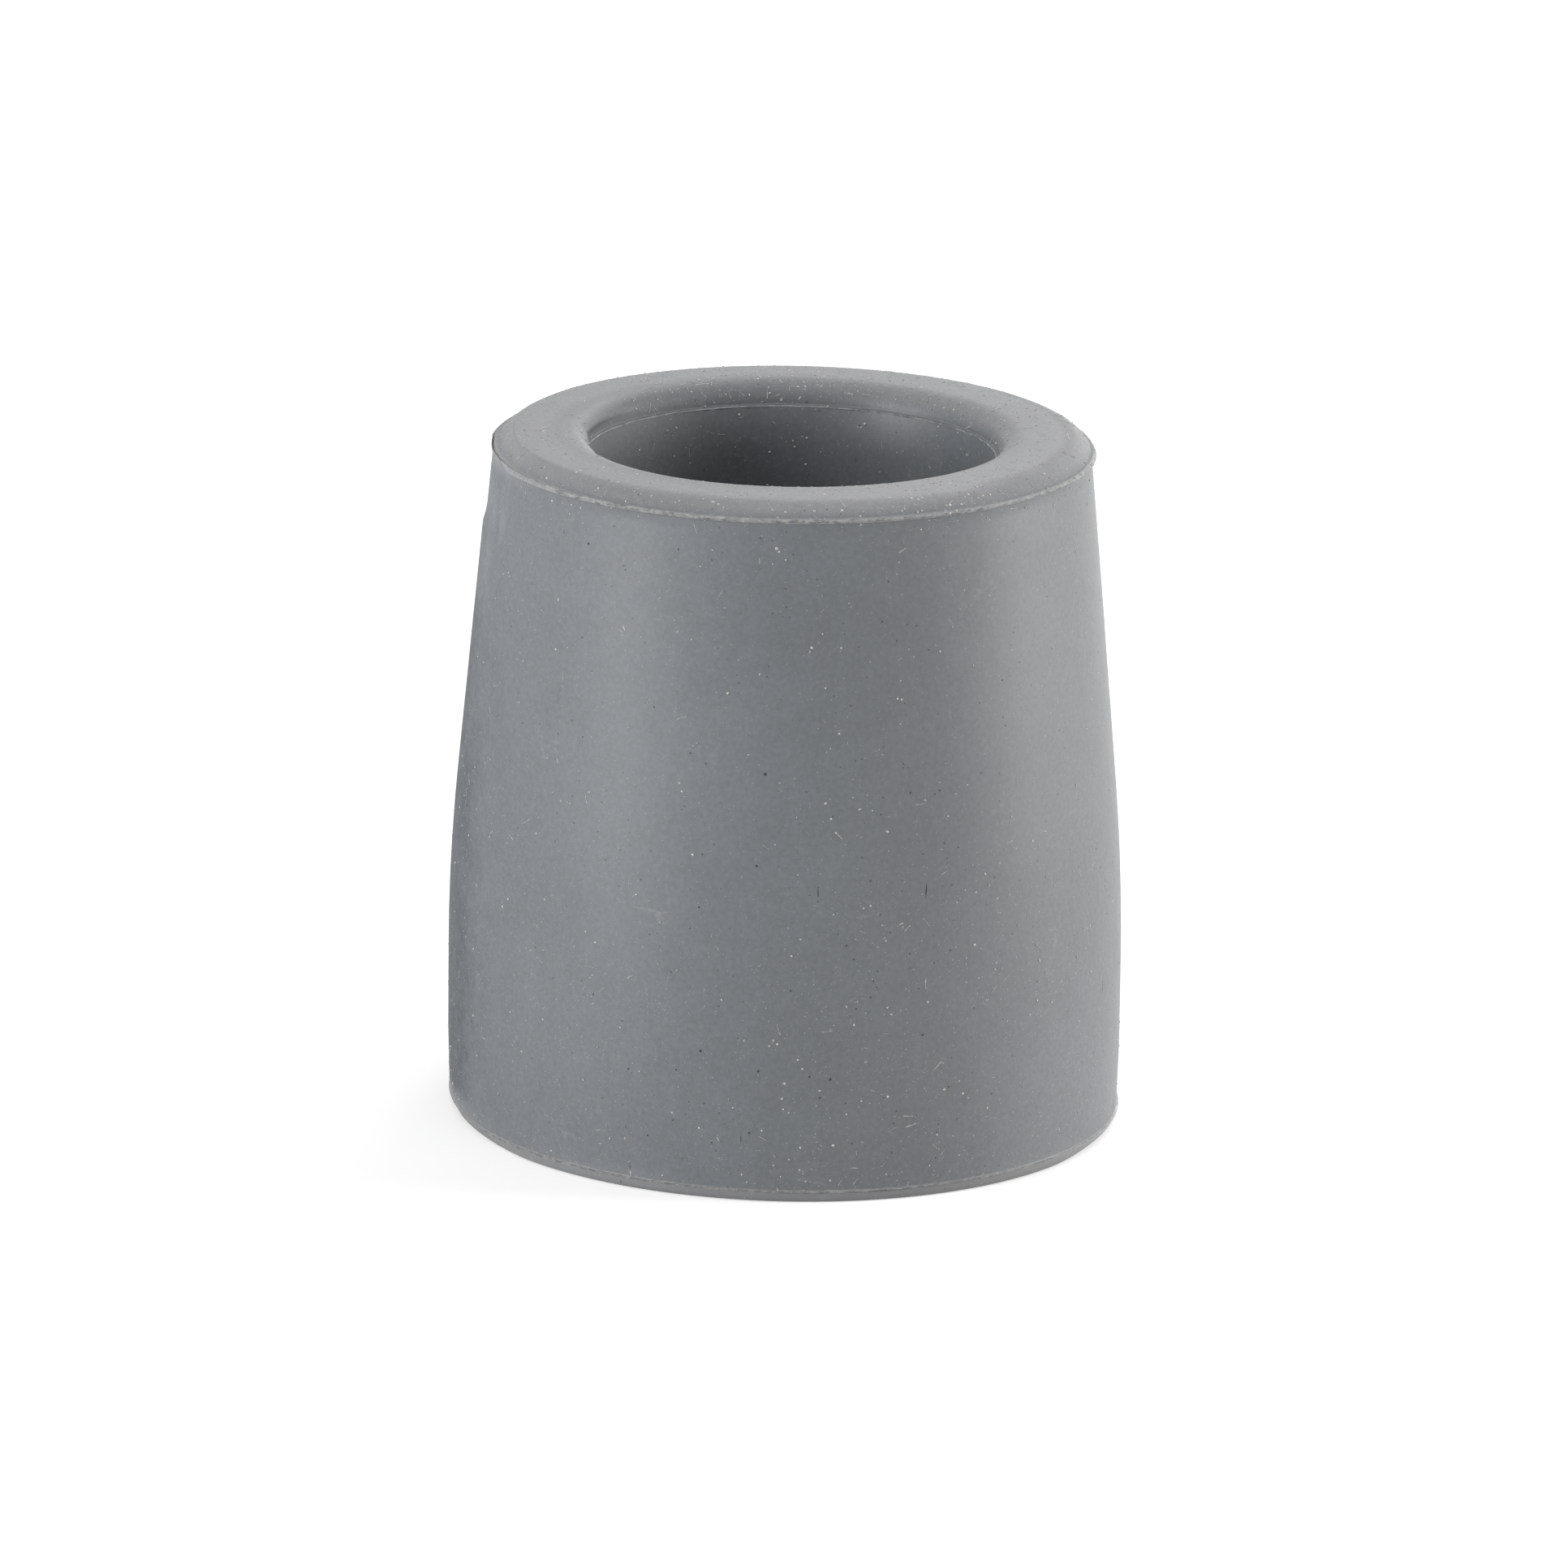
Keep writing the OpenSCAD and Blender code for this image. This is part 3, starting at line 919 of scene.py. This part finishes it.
pale_grains = [
    (828, 1371, 0.13), (965, 1367, 0.14), (983, 1306, 0.12), (764, 1266, 0.1), (1043, 1373, 0.12),
    (903, 1365, 0.1), (1010, 1344, 0.13), (1092, 1447, 0.12), (886, 1427, 0.1), (680, 617, 0.15),
    (693, 620, 0.11), (704, 622, 0.1), (698, 532, 0.1), (826, 517, 0.1), (878, 618, 0.17),
    (886, 621, 0.17), (998, 622, 0.12), (1018, 622, 0.11), (1038, 629, 0.13), (1060, 636, 0.12),
    (1286, 583, 0.22), (958, 638, 0.16), (961, 965, 0.12), (960, 680, 0.14), (644, 548, 0.09),
    (952, 695, 0.1), (968, 690, 0.12), (957, 676, 0.2), (835, 778, 0.14), (863, 698, 0.13),
    (852, 788, 0.11), (840, 975, 0.13), (726, 976, 0.13), (773, 959, 0.1), (837, 965, 0.14),
    (713, 950, 0.1), (983, 1078, 0.1), (878, 678, 0.1), (620, 707, 0.11), (596, 816, 0.12),
    (589, 805, 0.1), (609, 971, 0.11), (587, 997, 0.12), (572, 980, 0.13), (762, 1045, 0.1),
    (693, 846, 0.12), (955, 1041, 0.1), (936, 831, 0.11), (691, 987, 0.12), (702, 990, 0.1),
    (1034, 904, 0.15), (1017, 990, 0.16), (1024, 1009, 0.13), (1252, 1046, 0.12), (1017, 848, 0.1),
    (1106, 861, 0.12), (1111, 862, 0.12), (1075, 999, 0.11), (1340, 1144, 0.13), (1341, 1089, 0.12),
    (1339, 898, 0.14), (1288, 907, 0.12), (1345, 862, 0.13), (1340, 1076, 0.1), (1230, 1125, 0.1),
    (1229, 1107, 0.14), (1323, 1105, 0.1), (1243, 879, 0.11), (1192, 967, 0.1), (1247, 801, 0.1),
    (1027, 1127, 0.1), (1090, 1156, 0.1), (1285, 1179, 0.1), (977, 543, 0.12), (826, 480, 0.1),
    (796, 466, 0.12), (897, 460, 0.11), (992, 480, 0.1), (689, 491, 0.1), (947, 477, 0.1),
    (850, 609, 0.1), (843, 457, 0.12),
]
dark_grains = [
    (1023, 1330, 0.17), (731, 1225, 0.12), (974, 1221, 0.12), (1073, 1229, 0.13), (774, 1317, 0.13),
    (833, 1318, 0.12), (934, 1320, 0.16), (997, 1327, 0.14), (1010, 1353, 0.15), (798, 1399, 0.12),
    (877, 1408, 0.12), (923, 1396, 0.15), (863, 1295, 0.18), (1169, 1339, 0.12), (1137, 1275, 0.16),
    (943, 954, 0.2), (932, 1067, 0.16), (851, 928, 0.1), (861, 1118, 0.12), (1342, 592, 0.15),
    (725, 670, 0.16), (667, 577, 0.12), (644, 891, 0.12), (630, 772, 0.12), (806, 871, 0.1),
    (718, 908, 0.1), (707, 1014, 0.11), (705, 981, 0.1), (836, 677, 0.12), (969, 748, 0.1),
    (952, 756, 0.1), (945, 834, 0.1), (1122, 977, 0.15), (1235, 838, 0.13), (1181, 1044, 0.11),
    (1171, 1171, 0.12), (1052, 1182, 0.13), (1121, 1175, 0.11), (1113, 946, 0.1), (1239, 894, 0.1),
    (1207, 866, 0.1), (1087, 766, 0.1), (1158, 974, 0.12), (750, 530, 0.14),
]
dark_scratches = [
    (0.03, (912, 1360), (913, 1400), (912, 1438)),
    (0.06, (1008, 1093), (1008, 1105)),
    (0.05, (1142, 1088), (1141, 1098), (1141, 1109)),
    (0.04, (1086, 1053), (1086, 1061)),
    (0.05, (695, 652), (695, 658)),
    (0.03, (760, 935), (766, 940)),
    (0.03, (777, 934), (773, 941)),
    (0.05, (795, 790), (795, 805)),
]
hair_dust = fluff("hair", (0.42, 0.42, 0.41, 1), (0.7, 0.7, 0.68, 1))
grit = fluff("grit", (0.035, 0.04, 0.05, 1), (0.09, 0.095, 0.1, 1))
marks("pale_marks", pale_hairs, pale_grains, hair_dust)
marks("dark_marks", dark_scratches, dark_grains, grit)


# The studio
# A white floor, open under the tip, and soft boxes at the left and right,
# behind, in front, overhead and underneath. To the camera all around is plain
# white. None of it is part of the object.
floor_mesh = bpy.data.meshes.new("floor")
floor_sides = 72
floor_opening = (foot_r - 0.9) * MM
floor_reach = 3
floor_spots = []
for reach in (floor_opening, floor_reach):
    for side in range(floor_sides):
        turn = math.tau * side / floor_sides
        floor_spots.append((reach * math.cos(turn), reach * math.sin(turn), 0))
floor_faces = []
for side in range(floor_sides):
    on = (side + 1) % floor_sides
    floor_faces.append((side, floor_sides + side, floor_sides + on, on))
floor_mesh.from_pydata(floor_spots, [], floor_faces)
floor = bpy.data.objects.new("floor", floor_mesh)
bpy.context.scene.collection.objects.link(floor)
paper, tree, surface = new_material("white paper")
surface.inputs["Base Color"].default_value = (0.8, 0.8, 0.8, 1)
surface.inputs["Roughness"].default_value = 0.9
surface.inputs["Specular IOR Level"].default_value = 0
surface.inputs["Emission Color"].default_value = (1, 1, 1, 1)


def plain_view(tree):
    """1 for what the camera sees, straight or by a reflection or through glass, else 0."""
    ray = add(tree, "ShaderNodeLightPath")
    seen = maths(tree, "MAXIMUM", out(ray, "Is Camera Ray"), out(ray, "Is Transmission Ray"))
    return maths(tree, "MAXIMUM", seen, out(ray, "Is Glossy Ray"))


# The lamps bring the floor to about 0.8, and this brings it up to white
paper_glow = 0.47
tree.links.new(times(tree, plain_view(tree), paper_glow), surface.inputs["Emission Strength"])
# From below the floor is clear, so that the sole can be looked at
clear = add(tree, "ShaderNodeBsdfTransparent")
from_below = out(add(tree, "ShaderNodeNewGeometry"), "Backfacing")
either = add(tree, "ShaderNodeMixShader", from_below, out(surface), out(clear))
tree.links.new(out(either), tree.nodes["Material Output"].inputs["Surface"])
floor_mesh.materials.append(paper)

world = bpy.data.worlds.new("studio")
bpy.context.scene.world = world
world.use_nodes = True
tree = world.node_tree
room_light = 0.1
tree.links.new(maths(tree, "MULTIPLY_ADD", plain_view(tree), 1 - room_light, room_light),
               tree.nodes["Background"].inputs["Strength"])
tree.nodes["Background"].inputs["Color"].default_value = (1, 1, 1, 1)


def softbox(name, turn, rise, glow, away=0.6, size=(0.18, 0.32), colour=(1, 1, 1)):
    """A soft box round the tip: its turn from the right and its rise above the floor in
    degrees, how bright its face is, and its distance and size in metres."""
    data = bpy.data.lights.new(name, "AREA")
    data.shape = "RECTANGLE"
    data.size, data.size_y = size
    data.energy = glow * math.pi * size[0] * size[1]
    data.color = colour
    lamp = bpy.data.objects.new(name, data)
    bpy.context.scene.collection.objects.link(lamp)
    middle = Vector((0, 0, height * MM / 2))
    arm = Vector((math.cos(math.radians(rise)), 0, math.sin(math.radians(rise)))) * away
    arm.rotate(Matrix.Rotation(math.radians(turn), 3, "Z"))
    lamp.location = middle + arm
    lamp.rotation_euler = (-arm).to_track_quat("-Z", "Y").to_euler()
    lamp.visible_camera = False


warm = (1.0, 0.98, 0.945)
softbox("right_box", turn=0, rise=14, glow=12.8, size=(0.16, 0.32), colour=warm)
softbox("right_fill", turn=18, rise=14, glow=6.2, colour=warm)
softbox("left_box", turn=211, rise=14, glow=12.0)
softbox("left_fill", turn=196, rise=14, glow=1.6)
softbox("back_fill", turn=70, rise=16, glow=3.2, size=(0.25, 0.36))
softbox("back_box", turn=78, rise=45, glow=1.0, away=0.7, size=(0.6, 0.4))
softbox("top_box", turn=270, rise=88, glow=1.7, away=0.7, size=(0.5, 0.5))
softbox("front_fill", turn=270, rise=48, glow=0.6, away=0.7, size=(0.7, 0.4))
# This one lights the sole alone, through the opening in the floor
softbox("under_box", turn=270, rise=-80, glow=2.4, away=0.7, size=(0.7, 0.7))


# The camera
# A little over half a metre away with a long lens, looking down on the tip by
# about 16 degrees with a slight roll. Its place was fitted to the outline in
# the photograph.
lens = bpy.data.cameras.new("camera")
lens.lens = lens_mm
lens.sensor_width = film_mm
lens.clip_start = 0.01
camera = bpy.data.objects.new("camera", lens)
bpy.context.scene.collection.objects.link(camera)
camera.location = camera_at
camera.rotation_euler = camera_turn.to_euler()
bpy.context.scene.camera = camera

bpy.context.scene.view_settings.view_transform = "Standard"
